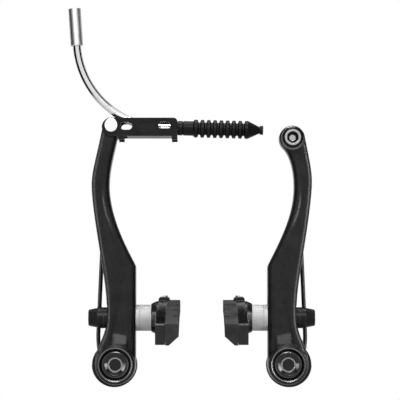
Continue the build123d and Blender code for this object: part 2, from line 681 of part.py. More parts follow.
def noodle_ferrule():
    """Socket on the noodle's upper end that takes the cable housing."""
    floor = FERRULE_LENGTH - FERRULE_SOCKET_DEPTH
    profile = make_face(Polyline(
        (PIPE_RADIUS + PRESS_FIT, 0),
        (FERRULE_RADIUS - FERRULE_CHAMFER, 0),
        (FERRULE_RADIUS, FERRULE_CHAMFER),
        (FERRULE_RADIUS, FERRULE_LENGTH),
        (FERRULE_SOCKET_RADIUS, FERRULE_LENGTH),
        (FERRULE_SOCKET_RADIUS, floor),
        (PIPE_BORE_RADIUS, floor),
        (PIPE_BORE_RADIUS, PIPE_INSERTION),
        (PIPE_RADIUS + PRESS_FIT, PIPE_INSERTION),
        close=True,
    ))
    return ferrule_place().location * revolve(Plane.XZ * profile, Axis.Z)


def boot():
    """Bellows boot: collar, neck, a row of ribs, a cone and a lipped tip, drooping from the nose."""
    ribs_x = BOOT_COLLAR_LENGTH + BOOT_NECK_LENGTH + BOOT_RIB_PITCH / 2
    points = [
        (0, BOOT_NECK_RADIUS),
        (BOOT_COLLAR_LENGTH, BOOT_NECK_RADIUS),
        (BOOT_COLLAR_LENGTH + BOOT_NECK_GROOVE / 2, BOOT_NECK_RADIUS - BOOT_NECK_GROOVE),
        (BOOT_COLLAR_LENGTH + BOOT_NECK_GROOVE, BOOT_NECK_RADIUS),
        (BOOT_COLLAR_LENGTH + BOOT_NECK_LENGTH, BOOT_NECK_RADIUS),
    ]
    for rib in range(BOOT_RIB_COUNT):
        centre = ribs_x + rib * BOOT_RIB_PITCH
        points.append((centre - BOOT_RIB_CREST / 2, BOOT_RIB_RADIUS))
        points.append((centre + BOOT_RIB_CREST / 2, BOOT_RIB_RADIUS))
        if rib < BOOT_RIB_COUNT - 1:
            points.append((centre + (BOOT_RIB_PITCH - BOOT_GROOVE_FLOOR) / 2, BOOT_GROOVE_RADIUS))
            points.append((centre + (BOOT_RIB_PITCH + BOOT_GROOVE_FLOOR) / 2, BOOT_GROOVE_RADIUS))
    cone_x = points[-1][0] + BOOT_CONE_LENGTH
    tip_x = cone_x + BOOT_TIP_LENGTH
    collar_bore = NOSE_RADIUS + BOOT_COLLAR_FIT
    points += [
        (cone_x, BOOT_TIP_NECK_RADIUS),
        (cone_x, BOOT_TIP_RADIUS),
        (tip_x, BOOT_TIP_RADIUS),
        (tip_x, BOOT_TIP_BORE_RADIUS),
        (cone_x - BOOT_CONE_LENGTH / 2, BOOT_TIP_BORE_RADIUS),
        (cone_x - BOOT_CONE_LENGTH, BOOT_BORE_RADIUS),
        (BOOT_COLLAR_LENGTH + BOOT_NECK_LENGTH, BOOT_BORE_RADIUS),
        (BOOT_COLLAR_LENGTH, collar_bore),
        (0, collar_bore),
    ]
    start = Pos(link_end_x + BOOT_GAP, arm_mid, link_mid_z)
    return start * Rot(0, BOOT_DROOP, 0) * turned(points, Axis.X)


def sphere_x(radius, sphere, rim_radius):
    """Height of a spherical seat above the plane of its rim, at a radius from its axis."""
    return sqrt(sphere ** 2 - radius ** 2) - sqrt(SEAT_SPHERE_RADIUS ** 2 - rim_radius ** 2)


def seat_arc(start, end, sphere, rim_radius, lift):
    """Arc of a spherical seat between two radii, as a profile edge."""
    radii = (start, (start + end) / 2, end)
    return ThreePointArc(*[(lift + sphere_x(radius, sphere, rim_radius), radius) for radius in radii])


def dome_washer(thickness, radius):
    """Washer with a flat back at x = 0 and a domed face towards +X."""
    hole = stud_radius + STUD_PLAY
    dome = seat_arc(radius, hole, SEAT_SPHERE_RADIUS, radius, thickness)
    rest = Polyline(dome @ 1, (0, hole), (0, radius), dome @ 0)
    return revolve(make_face([*dome.edges(), *rest.edges()]), Axis.X)


def cup_washer(thickness, radius):
    """Washer that starts at the dome's rim plane, hollow towards the dome and flat at x = thickness."""
    hole = stud_radius + STUD_PLAY
    hollow = seat_arc(radius, hole, SEAT_SPHERE_RADIUS + SEAT_FIT, radius, 0)
    rest = Polyline(hollow @ 1, (thickness, hole), (thickness, radius), hollow @ 0)
    return revolve(make_face([*hollow.edges(), *rest.edges()]), Axis.X)


def pad_nut():
    """Tapered nut with a hexagonal socket in its outer end."""
    end_x = nut_x - NUT_LENGTH
    body = turned([
        (nut_x, 0),
        (nut_x, NUT_BASE_RADIUS),
        (end_x + WASHER_CHAMFER, NUT_END_RADIUS),
        (end_x, NUT_END_RADIUS - WASHER_CHAMFER),
        (end_x, 0),
    ], Axis.X)
    thread = Plane.YZ.offset(nut_x - NUT_THREAD_LENGTH) * Circle(stud_radius + PRESS_FIT)
    body -= extrude(thread, NUT_THREAD_LENGTH)
    socket = Plane.YZ.offset(end_x) * RegularPolygon(HEX_KEY / 2, 6, major_radius=False)
    return body - extrude(socket, NUT_LENGTH - NUT_THREAD_LENGTH)


def pad_stud():
    """Threaded stud, its flat head sunk in the holder below the groove."""
    head_x = insert_x - GROOVE_DEPTH - STUD_PLAY
    tip_x = nut_x - NUT_THREAD_LENGTH + STUD_PLAY
    return turned([
        (head_x, 0),
        (head_x, STUD_HEAD_RADIUS),
        (head_x - STUD_HEAD_THICKNESS, STUD_HEAD_RADIUS),
        (head_x - STUD_HEAD_THICKNESS, stud_radius),
        (tip_x, stud_radius),
        (tip_x, 0),
    ], Axis.X)


def along_rim(distance):
    """Location turned along the rim's curve by a distance behind the stud."""
    turn = Rot(-degrees(distance / RIM_RADIUS), 0, 0)
    return Pos(0, 0, -RIM_RADIUS) * turn * Pos(0, 0, RIM_RADIUS)


def rim_sweep(section, start, length):
    """Section carried along the rim's curve, from a distance behind the stud towards the front."""
    axis = Axis((0, 0, -RIM_RADIUS), (1, 0, 0))
    return along_rim(start) * revolve(Plane.XZ * section, axis, degrees(length / RIM_RADIUS))


def groove_section(fit):
    """Undercut groove of the holder, or the insert's tongue when a fit is taken off."""
    floor_x = insert_x - GROOVE_DEPTH + fit
    mouth = GROOVE_MOUTH / 2 - fit
    floor = GROOVE_FLOOR / 2 - fit
    mouth_x = insert_x + 2 * INSERT_FIT
    return polygon((mouth_x, -mouth), (floor_x, -floor), (floor_x, floor), (mouth_x, mouth))


def keeper_place():
    """Location of the keeper pin, upright through the groove near the pad's open back end."""
    return along_rim(PAD_LENGTH / 2 - KEEPER_INSET) * Pos(insert_x - GROOVE_DEPTH / 2, 0, 0)


def keeper_lug():
    """Rounded lug on the holder's back end, which the keeper pin goes through."""
    half = PAD_HEIGHT / 2
    section = polygon(
        (holder_x + WASHER_CHAMFER, half - WASHER_CHAMFER),
        (insert_x, half - WASHER_CHAMFER),
        (insert_x, half),
        (insert_x + LUG_OVERHANG, half),
        (insert_x + LUG_OVERHANG, half + LUG_HEIGHT),
        (holder_x + WASHER_CHAMFER, half + LUG_HEIGHT),
    )
    section = fillet(section.vertices().group_by(Axis.Y)[-1], LUG_EDGE_RADIUS)
    return rim_sweep(section, PAD_LENGTH / 2, LUG_LENGTH)


def pad_holder():
    """Pad carrier: a bar bent to the rim, grooved for the insert, with a round boss for the stud."""
    half = PAD_HEIGHT / 2
    bar = polygon(
        (holder_x, -half + WASHER_CHAMFER),
        (holder_x + WASHER_CHAMFER, -half),
        (insert_x, -half),
        (insert_x, half),
        (holder_x + WASHER_CHAMFER, half),
        (holder_x, half - WASHER_CHAMFER),
    )
    holder = rim_sweep(bar, PAD_LENGTH / 2, PAD_LENGTH)
    front_end = holder.faces().sort_by(Axis.Y)[0]
    holder = fillet(front_end.edges().filter_by(Axis.X), HOLDER_END_RADIUS)
    holder += keeper_lug()
    holder += turned([
        (pad_boss_x, 0),
        (pad_boss_x, PAD_BOSS_TIP_RADIUS),
        (holder_x, PAD_BOSS_RADIUS),
        (holder_x + PAD_BOSS_ROOT, PAD_BOSS_RADIUS),
        (holder_x + PAD_BOSS_ROOT, 0),
    ], Axis.X)
    groove_start = PAD_LENGTH / 2 + OVERRUN
    holder -= rim_sweep(groove_section(0), groove_start, PAD_LENGTH + OVERRUN - HOLDER_STOP_LENGTH)
    head_floor = insert_x - GROOVE_DEPTH - STUD_PLAY - STUD_HEAD_THICKNESS
    bore = Plane.YZ.offset(pad_boss_x) * Circle(stud_radius + PRESS_FIT)
    holder -= extrude(bore, insert_x - pad_boss_x)
    recess = Plane.YZ.offset(head_floor) * Circle(STUD_HEAD_RADIUS + PRESS_FIT)
    holder -= extrude(recess, insert_x - head_floor)
    return holder - keeper_place() * Cylinder(KEEPER_RADIUS + PRESS_FIT, 2 * PAD_HEIGHT)


def pad_insert():
    """Rubber block with a dovetail tongue, a slanted lower edge and water slots across its face."""
    half = PAD_HEIGHT / 2
    back_x = insert_x + INSERT_FIT
    face_x = insert_x + INSERT_THICKNESS
    block = polygon(
        (back_x, -half),
        (face_x - INSERT_CHAMFER - WASHER_CHAMFER, -half),
        (face_x, -half + INSERT_CHAMFER),
        (face_x, half - WASHER_CHAMFER),
        (face_x - WASHER_CHAMFER, half),
        (back_x, half),
    )
    insert = rim_sweep(block, PAD_LENGTH / 2, PAD_LENGTH)
    tongue_length = PAD_LENGTH - HOLDER_STOP_LENGTH - INSERT_FIT
    insert += rim_sweep(groove_section(INSERT_FIT), PAD_LENGTH / 2, tongue_length)
    slot = Pos(face_x, 0) * Rectangle(2 * INSERT_SLOT_DEPTH, 2 * PAD_HEIGHT)
    for index in range(INSERT_SLOT_COUNT):
        place = PAD_LENGTH * ((index + 1) / (INSERT_SLOT_COUNT + 1) - 1 / 2)
        insert -= rim_sweep(slot, place + INSERT_SLOT_WIDTH / 2, INSERT_SLOT_WIDTH)
    return insert - keeper_place() * Cylinder(KEEPER_RADIUS + INSERT_FIT, 2 * PAD_HEIGHT)


def pad_keeper():
    """Headed pin that keeps the insert in its holder."""
    half = PAD_HEIGHT / 2
    lug_top = half + LUG_HEIGHT
    pin = Pos(0, 0, LUG_HEIGHT / 2) * Cylinder(KEEPER_RADIUS, PAD_HEIGHT + LUG_HEIGHT)
    pin += Pos(0, 0, lug_top + KEEPER_HEAD_HEIGHT / 2) * Cylinder(KEEPER_HEAD_RADIUS, KEEPER_HEAD_HEIGHT)
    return keeper_place() * pin


def left(piece):
    """Place a handed piece on the left pivot."""
    return Pos(-pivot_x, 0, 0) * piece


def right(piece):
    """Place the mirror image of a handed piece on the right pivot."""
    return Pos(pivot_x, 0, 0) * mirror(piece, about=Plane.YZ)


# Build: pieces that both sides share, then the pieces of one side only
on_stud = Pos(0, arm_mid, STUD_HEIGHT)
on_pad = on_stud * Rot(PAD_PITCH, 0, 0)
inner_dome = dome_washer(INNER_DOME_THICKNESS, INNER_WASHER_RADIUS)
inner_cup = cup_washer(INNER_CUP_THICKNESS, INNER_WASHER_RADIUS)
outer_dome = mirror(dome_washer(OUTER_DOME_THICKNESS, OUTER_WASHER_RADIUS), about=Plane.YZ)
outer_cup = mirror(cup_washer(OUTER_CUP_THICKNESS, OUTER_WASHER_RADIUS), about=Plane.YZ)

handed = {
    "pivot_bush": pivot_bush(),
    "fixing_bolt": fixing_bolt(),
    "fixing_washer": fixing_washer(),
    "spring_housing": spring_housing(),
    "stopper_pin": stopper_pin(),
    "tension_screw": tension_screw(),
    "return_spring": return_spring(),
    "inner_dome_washer": on_stud * Pos(inner_dome_x, 0, 0) * inner_dome,
    "inner_cup_washer": on_stud * Pos(inner_cup_x, 0, 0) * inner_cup,
    "outer_dome_washer": on_stud * Pos(outer_dome_x, 0, 0) * outer_dome,
    "outer_cup_washer": on_stud * Pos(outer_cup_x, 0, 0) * outer_cup,
    "pad_nut": on_stud * pad_nut(),
    "pad_stud": on_pad * pad_stud(),
    "pad_holder": on_pad * pad_holder(),
    "pad_insert": on_pad * pad_insert(),
    "pad_keeper": on_pad * pad_keeper(),
}
pieces = {
    "left_arm": left(pin_arm()),
    "right_arm": right(clamp_arm()),
    "link_pin": link_pin(),
    "cable_link": cable_link(),
    "noodle_pipe": noodle_pipe(),
    "noodle_liner": noodle_liner(),
    "noodle_ferrule": noodle_ferrule(),
    "boot": boot(),
    "cable_bolt": right(cable_bolt()),
    "cable_washer": right(cable_washer()),
}
for name, piece in handed.items():
    pieces["left_" + name] = left(piece)
    pieces["right_" + name] = right(piece)

os.makedirs("parts", exist_ok=True)
for name, piece in pieces.items():
    export_step(piece, f"parts/{name}.step")
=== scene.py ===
import json
import math

import bmesh
import bpy
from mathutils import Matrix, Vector


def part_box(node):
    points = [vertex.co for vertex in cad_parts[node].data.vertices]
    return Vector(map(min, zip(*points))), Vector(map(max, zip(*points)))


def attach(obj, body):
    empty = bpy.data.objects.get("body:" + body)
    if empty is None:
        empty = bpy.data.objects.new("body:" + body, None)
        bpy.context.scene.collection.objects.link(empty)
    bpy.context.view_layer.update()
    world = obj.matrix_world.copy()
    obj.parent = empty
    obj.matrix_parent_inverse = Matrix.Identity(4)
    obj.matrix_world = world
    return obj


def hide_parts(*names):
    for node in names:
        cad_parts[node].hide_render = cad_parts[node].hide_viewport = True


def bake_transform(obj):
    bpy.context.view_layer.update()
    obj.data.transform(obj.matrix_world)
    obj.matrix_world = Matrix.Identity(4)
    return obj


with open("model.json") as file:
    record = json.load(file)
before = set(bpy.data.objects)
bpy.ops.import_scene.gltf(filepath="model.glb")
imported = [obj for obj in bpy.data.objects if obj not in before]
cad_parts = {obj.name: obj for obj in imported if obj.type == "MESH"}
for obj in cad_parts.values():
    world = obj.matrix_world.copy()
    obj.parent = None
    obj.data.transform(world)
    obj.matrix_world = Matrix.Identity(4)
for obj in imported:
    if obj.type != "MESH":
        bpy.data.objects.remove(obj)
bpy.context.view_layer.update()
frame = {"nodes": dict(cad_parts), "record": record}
nodes = frame["nodes"]
scene = bpy.context.scene

SIDES = ("left", "right")

# Camera. Lengths are in metres here and below, and the photograph's frame is taken as 400 x 400.
FRAME_PIXELS = 400
SENSOR_WIDTH_MM = 36
METRES_PER_PIXEL = 0.000468
CAMERA_DISTANCE = 0.9
CAMERA_PITCH = math.radians(4.2)
AIM = Vector((-0.0008, -0.0165, 0.0768))

# Materials
SHARP_ANGLE = math.radians(31)
EVEN = (1, 1, 1)
TURNED = (1, 0.04, 0.04)
PATCH_SIZE = 40
PATCH_DETAIL = 3.0
PATCH_SPREAD = (-0.6, 1.6)
PATCH_ROUGHNESS = 0.6
GRAIN_DETAIL = 4.0
GRAIN_ROUGHNESS = (0.0, 0.4)
GRAIN_STRENGTH = 0.6
BEVEL_SAMPLES = 4
# Edge grey, partly wear and dust and partly painted light: a painted highlight on the black parts, a painted
# shade at the spacer's seams.
EDGE_MARK_REACH = 0.00035
EDGE_MARK_NONE_COSINE = 0.96
EDGE_MARK_FULL_COSINE = 0.75
EDGE_MARK_SPREAD = (0.1, 1.0)
FRONT_NORMAL_LIMIT = -0.9

# Painted highlight rings, shiny metal painted where edges catch the light: the axes they lie about, and their
# inner and outer radius
CLAMP_BOLT = (0.0423, 0, 0.1054)
CLAMP_RIM = (0.0027, 0.0037)
CLAMP_SOCKET_FLOOR = (0.0, 0.0015)
PIVOTS = ((-0.04, 0, 0), (0.04, 0, 0))
KEY_RIM = (0.0028, 0.0034)
HEAD_EDGE = (0.00575, 0.0063)
HUB_RING = (0.0074, 0.0079)

# Boot lip: Y and Z of its axis, then its ends along X and its radii
NOSE_AXIS = (-0.0165, 0.1106)
LIP_START = -0.01127
LIP_END = -0.01098
LIP_INNER = 0.00165
LIP_OUTER = 0.0033

# Panels in the link's oval: X and Z of their centre, their size, and how deep they lie in the sheet
PANEL_CENTRE = (-0.0263, 0.1111)
PANEL_LENGTH = 0.00616
PANEL_HEIGHT = 0.00456
PANEL_DEPTH = 0.0004
LINK_SHEET = 0.0012
ROUND_STEPS = 48

# Return springs: the height up to which the wire is cut into rings, the height where the cuts start, and the
# number of cuts
WIRE_BEND_END = 0.05
WIRE_CUT_START = 0.009
WIRE_CUTS = 25

# Studio
WORLD_FILL = 0.35
FLOOR_SIZE = 1.6
FLOOR_HEIGHT = -0.1
FLOOR_FADE_START = 0.2
FLAG_OFFSET = 0.45
FLAG_FRONT = -0.4
FLAG_BACK = 0.25
FLAG_LOW = -0.7
FLAG_HIGH = 0.9
FLAG_REAR = 0.6
FLAG_REAR_LOW = 0.2

# Lamps: place, target, width and height, power in watts
LAMP_TARGET = (0, AIM.y, 0.07)
TOP_TARGET = (0, 0, 0.07)
LAMPS = {
    "key": ((-0.05, -0.8, 0.6), LAMP_TARGET, (0.3, 0.3), 4.5),
    "top": ((0.0, 0.0, 0.9), TOP_TARGET, (0.5, 0.25), 4.5),
}
STRIPS = {
    "left": ((-0.43, -0.22, 0.1), LAMP_TARGET, (0.12, 0.36), 2.4),
    "right": ((0.43, -0.22, 0.1), LAMP_TARGET, (0.12, 0.36), 3.2),
}


def grey(value):
    """Neutral opaque colour."""
    return (value, value, value, 1)


def noise(tree, scale, detail, stretch=EVEN):
    """Noise in object coordinates with a feature size of one over scale metres."""
    source = tree.nodes.new("ShaderNodeTexCoord")
    mapping = tree.nodes.new("ShaderNodeMapping")
    mapping.inputs["Scale"].default_value = stretch
    tree.links.new(source.outputs["Object"], mapping.inputs["Vector"])
    node = tree.nodes.new("ShaderNodeTexNoise")
    node.inputs["Scale"].default_value = scale
    node.inputs["Detail"].default_value = detail
    tree.links.new(mapping.outputs["Vector"], node.inputs["Vector"])
    return node.outputs["Fac"]


def remap(tree, value, low, high):
    """Value from 0 to 1 turned into a range."""
    node = tree.nodes.new("ShaderNodeMapRange")
    node.inputs["To Min"].default_value = low
    node.inputs["To Max"].default_value = high
    tree.links.new(value, node.inputs["Value"])
    return node.outputs["Result"]


def join_masks(tree, operation, first, second):
    """Two masks joined by an operation."""
    node = tree.nodes.new("ShaderNodeMath")
    node.operation = operation
    tree.links.new(first, node.inputs[0])
    tree.links.new(second, node.inputs[1])
    return node.outputs["Value"]


def times(tree, first, second):
    """Product of two masks."""
    return join_masks(tree, "MULTIPLY", first, second)


def either(tree, first, second):
    """Larger of two masks."""
    return join_masks(tree, "MAXIMUM", first, second)


def mix_colour(tree, mask):
    """Node that goes from its colour A to its colour B as a mask rises."""
    node = tree.nodes.new("ShaderNodeMix")
    node.data_type = "RGBA"
    tree.links.new(mask, node.inputs["Factor"])
    return node


def cover(tree, mask, under, shade):
    """Colour with a grey over it where a mask is set."""
    node = mix_colour(tree, mask)
    node.inputs["B"].default_value = grey(shade)
    tree.links.new(under, node.inputs["A"])
    return node.outputs["Result"]


def soft_edge(tree, radius):
    """Normal that rounds sharp edges by a small radius."""
    node = tree.nodes.new("ShaderNodeBevel")
    node.samples = BEVEL_SAMPLES
    node.inputs["Radius"].default_value = radius
    return node.outputs["Normal"]


def edge_wear_and_painted_light(tree, pattern):
    """Mask of the sharp edges, broken up by a pattern, for a grey that is partly wear and partly painted
    highlight and shade.
    """
    faces = tree.nodes.new("ShaderNodeNewGeometry")
    match = tree.nodes.new("ShaderNodeVectorMath")
    match.operation = "DOT_PRODUCT"
    tree.links.new(soft_edge(tree, EDGE_MARK_REACH), match.inputs[0])
    tree.links.new(faces.outputs["Normal"], match.inputs[1])
    edge_mark = tree.nodes.new("ShaderNodeMapRange")
    edge_mark.inputs["From Min"].default_value = EDGE_MARK_NONE_COSINE
    edge_mark.inputs["From Max"].default_value = EDGE_MARK_FULL_COSINE
    tree.links.new(match.outputs["Value"], edge_mark.inputs["Value"])
    return times(tree, edge_mark.outputs["Result"], remap(tree, pattern, *EDGE_MARK_SPREAD))


def surface(name, shades, rough, grain, relief, metallic=0.0, gloss=0.5, edge=0.0002, stretch=EVEN, wear_and_painted_light=None):
    """Material whose grey and roughness vary a little, with a fine grain, eased edges and another grey along
    sharp edges, which is partly wear and dust and partly painted light: a painted highlight where it is
    lighter, a painted shade where it is darker.
    """
    material = bpy.data.materials.new(name)
    material.use_nodes = True
    tree = material.node_tree
    tree.nodes.clear()
    output = tree.nodes.new("ShaderNodeOutputMaterial")
    shader = tree.nodes.new("ShaderNodeBsdfPrincipled")
    shader.inputs["Metallic"].default_value = metallic
    shader.inputs["Specular IOR Level"].default_value = gloss
    tree.links.new(shader.outputs["BSDF"], output.inputs["Surface"])

    patches = noise(tree, grain / PATCH_SIZE, PATCH_DETAIL)
    fine = noise(tree, grain, GRAIN_DETAIL, stretch)
    paint = mix_colour(tree, remap(tree, patches, *PATCH_SPREAD))
    paint.inputs["A"].default_value = grey(shades[0])
    paint.inputs["B"].default_value = grey(shades[1])
    colour = paint.outputs["Result"]
    # Sharp edges take the edge grey: wear and dust, and with it a painted highlight on the black parts and a
    # painted shade at the spacer's seams.
    if wear_and_painted_light is not None:
        colour = cover(tree, edge_wear_and_painted_light(tree, patches), colour, wear_and_painted_light)
    tree.links.new(colour, shader.inputs["Base Color"])

    marks = tree.nodes.new("ShaderNodeMath")
    marks.operation = "MULTIPLY_ADD"
    marks.inputs[1].default_value = PATCH_ROUGHNESS
    tree.links.new(patches, marks.inputs[0])
    tree.links.new(remap(tree, fine, *GRAIN_ROUGHNESS), marks.inputs[2])
    tree.links.new(remap(tree, marks.outputs["Value"], *rough), shader.inputs["Roughness"])

    bump = tree.nodes.new("ShaderNodeBump")
    bump.inputs["Strength"].default_value = GRAIN_STRENGTH
    bump.inputs["Distance"].default_value = relief
    tree.links.new(fine, bump.inputs["Height"])
    tree.links.new(soft_edge(tree, edge), bump.inputs["Normal"])
    tree.links.new(bump.outputs["Normal"], shader.inputs["Normal"])
    return material


# Each look: name, darkest and lightest grey, roughness from and to, grains per metre, height of the grain
# Edge greys in the looks below: lighter edges on the black metal and plastic parts are a painted highlight as
# well as wear, on the rubber dust.
SLOT_LOOKS = {
    "arm_black": surface(
        "satin_black_arm", (0.005, 0.011), (0.2, 0.34), 7000, 8e-6, gloss=0.16, edge=0.0012, wear_and_painted_light=0.07),
    "steel_black": surface(
        "gloss_black_steel", (0.003, 0.006), (0.12, 0.24), 5000, 1e-6, gloss=0.12, edge=0.0003, wear_and_painted_light=0.1),
    "steel_plain": surface("plain_steel", (0.3, 0.42), (0.25, 0.42), 5000, 1e-6, metallic=1.0),
    "steel_bright": surface("bright_steel", (0.66, 0.76), (0.07, 0.15), 4000, 6e-7, metallic=1.0),
    "spring_black": surface("spring_wire", (0.004, 0.008), (0.2, 0.32), 5000, 1e-6, gloss=0.2),
    "plastic_black": surface("housing_plastic", (0.005, 0.009), (0.4, 0.55), 4000, 4e-6, gloss=0.12, wear_and_painted_light=0.04),
    # The spacer's darker edge grey is a painted shade at the seam between its washers and next to the arm.
    "spacer_silver": surface(
        "spacer_aluminium", (0.36, 0.43), (0.66, 0.78), 9000, 2e-6, metallic=1.0, stretch=TURNED, wear_and_painted_light=0.12),
    "washer_black": surface(
        "black_washer", (0.003, 0.007), (0.25, 0.4), 9000, 1e-6, gloss=0.14, stretch=TURNED, wear_and_painted_light=0.08),
    "holder_black": surface(
        "pad_holder_black", (0.003, 0.008), (0.14, 0.3), 6000, 1e-5, gloss=0.3, edge=0.0006, wear_and_painted_light=0.07),
    "pad_rubber": surface(
        "brake_rubber", (0.008, 0.04), (0.55, 0.85), 3500, 5e-5, gloss=0.15, edge=0.0004, wear_and_painted_light=0.07),
    "link_black": surface("link_black_steel", (0.004, 0.012), (0.26, 0.44), 6000, 8e-6, gloss=0.12, wear_and_painted_light=0.09),
    "ferrule_silver": surface("ferrule_aluminium", (0.64, 0.74), (0.34, 0.48), 9000, 1e-6, metallic=1.0),
    "liner_plastic": surface("liner_plastic", (0.6, 0.66), (0.4, 0.5), 4000, 1e-6),
    "boot_rubber": surface(
        "boot_rubber", (0.002, 0.011), (0.32, 0.52), 3500, 3e-5, gloss=0.12, edge=0.0003, wear_and_painted_light=0.02),
}


def ring(tree, centre, band):
    """Mask of a ring about an axis along Y through a point."""
    inner, outer = band
    source = tree.nodes.new("ShaderNodeTexCoord")
    away = tree.nodes.new("ShaderNodeVectorMath")
    away.operation = "SUBTRACT"
    away.inputs[1].default_value = centre
    tree.links.new(source.outputs["Object"], away.inputs[0])
    flat = tree.nodes.new("ShaderNodeVectorMath")
    flat.operation = "MULTIPLY"
    flat.inputs[1].default_value = (1, 0, 1)
    tree.links.new(away.outputs["Vector"], flat.inputs[0])
    radius = tree.nodes.new("ShaderNodeVectorMath")
    radius.operation = "LENGTH"
    tree.links.new(flat.outputs["Vector"], radius.inputs[0])
    inside = tree.nodes.new("ShaderNodeMath")
    inside.operation = "COMPARE"
    inside.inputs[1].default_value = (inner + outer) / 2
    inside.inputs[2].default_value = (outer - inner) / 2
    tree.links.new(radius.outputs["Value"], inside.inputs[0])
    return inside.outputs["Value"]


def pivot_rings(tree, band):
    """Mask of a ring about each pivot."""
    left, right = [ring(tree, centre, band) for centre in PIVOTS]
    return either(tree, left, right)


def facing_front(tree):
    """Mask of the faces that look straight to the front."""
    faces = tree.nodes.new("ShaderNodeNewGeometry")
    split = tree.nodes.new("ShaderNodeSeparateXYZ")
    tree.links.new(faces.outputs["True Normal"], split.inputs["Vector"])
    front = tree.nodes.new("ShaderNodeMath")
    front.operation = "LESS_THAN"
    front.inputs[1].default_value = FRONT_NORMAL_LIMIT
    tree.links.new(split.outputs["Y"], front.inputs[0])
    return front.outputs["Value"]


def clamp_highlight_rings(tree):
    """Painted highlight: a shiny metal ring round the cable bolt's socket and a shiny socket floor."""
    rings = either(tree, ring(tree, CLAMP_BOLT, CLAMP_RIM), ring(tree, CLAMP_BOLT, CLAMP_SOCKET_FLOOR))
    return times(tree, rings, facing_front(tree))


def key_highlight_rings(tree):
    """Painted highlight: a shiny metal rim round the pivot bolts' hexagon and a shiny outer edge on their
    heads.
    """
    rims = times(tree, pivot_rings(tree, KEY_RIM), facing_front(tree))
    return either(tree, pivot_rings(tree, HEAD_EDGE), rims)


def hub_highlight_ring(tree):
    """Painted highlight: a shiny metal ring on the arms' hubs, round the bolt heads."""
    return pivot_rings(tree, HUB_RING)


def with_painted_highlight(slot, name, highlight_mask, shade, gloss):
    """Copy of a look with its own gloss, and shiny metal painted as a highlight where a mask is set."""
    material = SLOT_LOOKS[slot].copy()
    material.name = name
    tree = material.node_tree
    shader = tree.nodes["Principled BSDF"]
    shader.inputs["Specular IOR Level"].default_value = gloss
    # Where the mask is set the colour turns to shiny metal, a painted highlight.
    highlight = highlight_mask(tree)
    paint = shader.inputs["Base Color"].links[0].from_socket
    tree.links.new(cover(tree, highlight, paint, shade), shader.inputs["Base Color"])
    tree.links.new(highlight, shader.inputs["Metallic"])
    return material


def smooth(mesh):
    """Smooth shading with its sharp edges kept."""
    mesh.shade_smooth()
    mesh.set_sharp_from_angle(angle=SHARP_ANGLE)


for subpart in frame["record"]["subparts"]:
    piece = nodes[subpart["node"]]
    piece.data.materials.clear()
    piece.data.materials.append(SLOT_LOOKS[subpart["material_slot"]])
    smooth(piece.data)

# The shiny metal rings on the pivot bolts and the arms' hubs are painted highlights of their edges.
bolt_look = with_painted_highlight("steel_black", "pivot_bolt_steel", key_highlight_rings, shade=0.26, gloss=0.3)
arm_look = with_painted_highlight("arm_black", "worn_black_arm", hub_highlight_ring, shade=0.2, gloss=0.16)
own_looks = {
    # The cable bolt's shiny rings are a painted highlight.
    "cable_bolt": with_painted_highlight("steel_black", "clamp_bolt_steel", clamp_highlight_rings, shade=0.45, gloss=0.12),
    "link_pin": surface("nickel_pin", (0.82, 0.9), (0.25, 0.4), 4000, 1e-6, metallic=1.0),
    "cable_washer": surface("washer_steel", (0.16, 0.22), (0.2, 0.32), 5000, 1e-6, metallic=1.0),
}
for side in SIDES:
    own_looks[side + "_fixing_bolt"] = bolt_look
    own_looks[side + "_arm"] = arm_look
for name, look in own_looks.items():
    nodes[name].data.materials[0] = look


def add_piece(name, points, faces, body, slot):
    """New mesh that rides on a body and takes its finish from a slot of the record."""
    mesh = bpy.data.meshes.new(name)
    mesh.from_pydata(points, [], faces)
    mesh.materials.append(SLOT_LOOKS[slot])
    smooth(mesh)
    piece = bpy.data.objects.new(name, mesh)
    scene.collection.objects.link(piece)
    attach(piece, body)


def add_panel(name, front, back):
    """Floor of the link's oval recess, a round-ended plate from one depth to another."""
    radius = PANEL_HEIGHT / 2
    reach = PANEL_LENGTH / 2 - radius
    outline = []
    for step in range(ROUND_STEPS):
        angle = 2 * math.pi * (step + 0.5) / ROUND_STEPS
        shift = math.copysign(reach, math.cos(angle))
        x = PANEL_CENTRE[0] + shift + radius * math.cos(angle)
        outline.append((x, PANEL_CENTRE[1] + radius * math.sin(angle)))
    points = [(x, front, z) for x, z in outline] + [(x, back, z) for x, z in outline]
    count = len(outline)
    faces = [tuple(range(count)), tuple(reversed(range(count, 2 * count)))]
    for step in range(count):
        after = (step + 1) % count
        faces.append((after, step, count + step, count + after))
    add_piece(name, points, faces, "link", "link_black")


def add_lip():
    """Soft lip of the boot that closes on the link's end."""
    profile = ((LIP_START, LIP_INNER), (LIP_START, LIP_OUTER), (LIP_END, LIP_OUTER), (LIP_END, LIP_INNER))
    axis_y, axis_z = NOSE_AXIS
    points = []
    for step in range(ROUND_STEPS):
        angle = 2 * math.pi * step / ROUND_STEPS
        for x, radius in profile:
            points.append((x, axis_y + radius * math.cos(angle), axis_z + radius * math.sin(angle)))
    faces = []
    for step in range(ROUND_STEPS):
        here = len(profile) * step
        there = len(profile) * ((step + 1) % ROUND_STEPS)
        for corner in range(len(profile)):
            after = (corner + 1) % len(profile)
            faces.append((here + corner, there + corner, there + after, here + after))
    add_piece("boot_lip", points, faces, "noodle", "boot_rubber")


